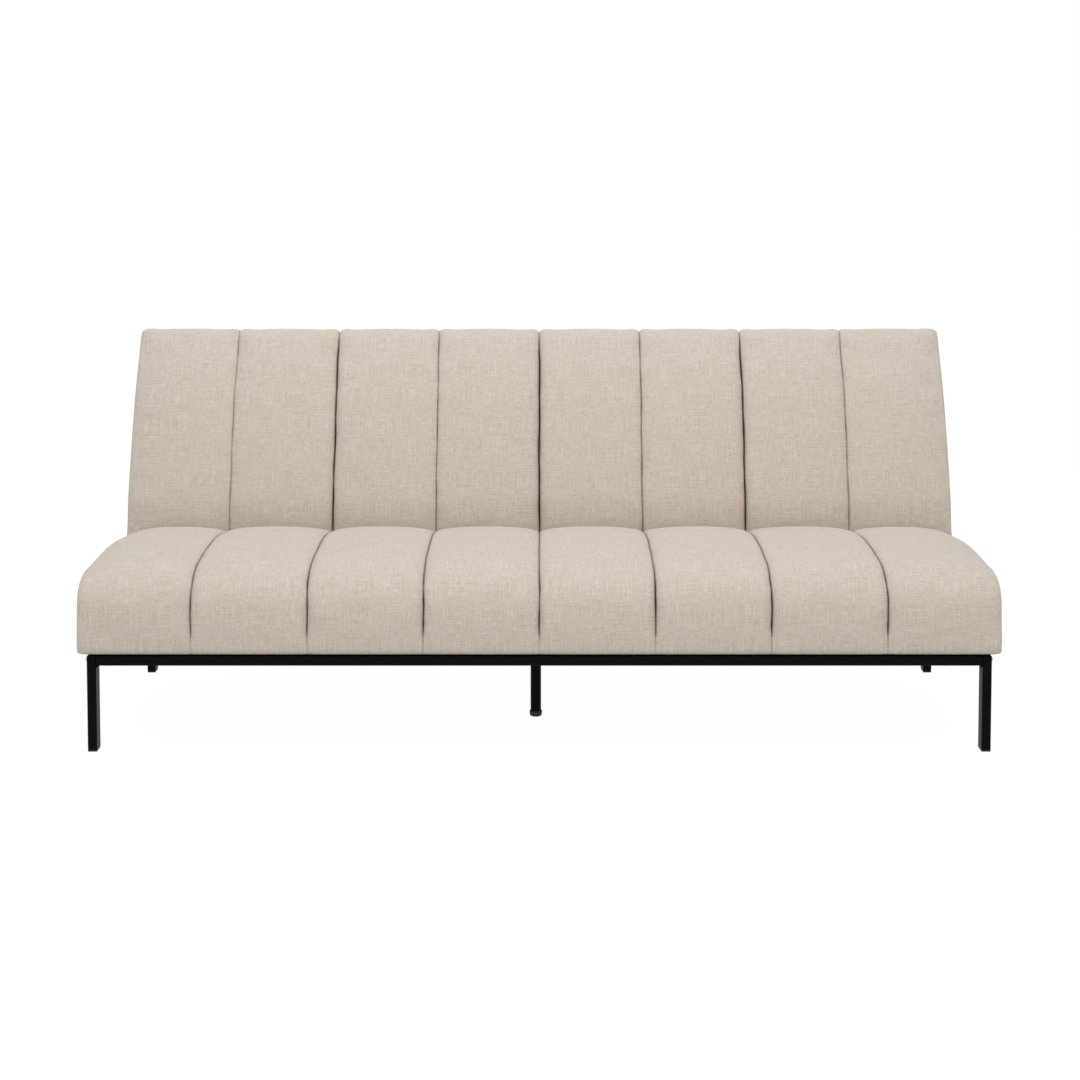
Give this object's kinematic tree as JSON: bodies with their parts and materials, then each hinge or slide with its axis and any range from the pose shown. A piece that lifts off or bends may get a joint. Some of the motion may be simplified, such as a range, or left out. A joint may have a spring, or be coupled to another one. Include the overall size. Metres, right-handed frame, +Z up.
{
  "type": "click clack sofa bed",
  "caption": "Armless click clack sofa bed: channelled beige seat and back cushions on a low black steel tube frame, with a back that reclines flat on a notched side hinge.",
  "frame": {"origin": "on the floor, under the middle of the bounding box of the upright sofa", "axes": "+X to the right when facing the sofa, +Y to the rear, +Z up"},
  "size_m": [1.98, 0.9494, 0.8364],
  "materials": {
    "linen": "plain weave beige linen look",
    "frame_steel": "black powder coat, low sheen",
    "black_plastic": "moulded black plastic",
    "zinc": "bright zinc plated steel",
    "spring_steel": "dark drawn spring wire and strip",
    "buffer_rubber": "matt black rubber",
    "timber": "unfinished sawn pine",
    "foam": "open cell polyurethane foam",
    "black_cloth": "thin black non-woven cloth",
    "webbing": "elastic upholstery webbing"
  },
  "bodies": {
    "base": {"front_rail": "frame_steel", "rear_rail": "frame_steel", "side_rail_left": "frame_steel", "side_rail_right": "frame_steel", "centre_crossbar": "frame_steel", "leg_front_left": "frame_steel", "leg_front_right": "frame_steel", "leg_rear_left": "frame_steel", "leg_rear_right": "frame_steel", "centre_leg": "frame_steel", "glide_front_left": "black_plastic", "glide_front_right": "black_plastic", "glide_rear_left": "black_plastic", "glide_rear_right": "black_plastic", "centre_foot": "black_plastic", "leg_bolt_front_left": "zinc", "leg_bolt_front_right": "zinc", "leg_bolt_rear_left": "zinc", "leg_bolt_rear_right": "zinc", "bed_buffer_left": "buffer_rubber", "bed_buffer_right": "buffer_rubber", "bracket_left": "frame_steel", "bracket_right": "frame_steel", "bracket_bolt_front_left": "zinc", "bracket_bolt_rear_left": "zinc", "bracket_bolt_front_right": "zinc", "bracket_bolt_rear_right": "zinc", "hinge_pin_left": "zinc", "hinge_pin_right": "zinc", "pawl_pin_left": "zinc", "pawl_pin_right": "zinc", "pawl_spring_left": "spring_steel", "pawl_spring_right": "spring_steel"},
    "seat": {"seat_cover": "linen", "seat_foam": "foam", "seat_frame": "timber", "seat_springs": "spring_steel", "seat_dust_cover": "black_cloth", "seat_arm_left": "frame_steel", "seat_arm_right": "frame_steel", "seat_arm_bolt_front_left": "zinc", "seat_arm_bolt_rear_left": "zinc", "seat_arm_bolt_front_right": "zinc", "seat_arm_bolt_rear_right": "zinc"},
    "back": {"back_cover": "linen", "back_rear_panel": "linen", "back_foam": "foam", "back_frame": "timber", "back_webbing": "webbing", "back_arm_left": "frame_steel", "back_arm_right": "frame_steel", "back_arm_bolt_low_left": "zinc", "back_arm_bolt_high_left": "zinc", "back_arm_bolt_low_right": "zinc", "back_arm_bolt_high_right": "zinc"},
    "left_pawl": {"pawl_left": "zinc"},
    "right_pawl": {"pawl_right": "zinc"}
  },
  "joints": [
    {"name": "back_recline", "type": "hinge", "parent": "base", "child": "back", "pos_m": [0, 0.17617, 0.3385], "axis": [-1, 0, 0], "range_deg": [0, 67.2]},
    {"name": "seat_lift", "type": "hinge", "parent": "base", "child": "seat", "pos_m": [0, 0.17617, 0.3385], "axis": [-1, 0, 0], "range_deg": [0, 15]},
    {"name": "pawl_left_swing", "type": "hinge", "parent": "base", "child": "left_pawl", "pos_m": [-0.9573, 0.15737, 0.2578], "axis": [-1, 0, 0], "range_deg": [0, 12], "stiffness_Nm_per_rad": 0.5, "springref_deg": -8.59, "deforming": ["pawl_spring_left"]},
    {"name": "pawl_right_swing", "type": "hinge", "parent": "base", "child": "right_pawl", "pos_m": [0.9573, 0.15737, 0.2578], "axis": [-1, 0, 0], "range_deg": [0, 12], "stiffness_Nm_per_rad": 0.5, "springref_deg": -8.59, "deforming": ["pawl_spring_right"]}
  ]
}
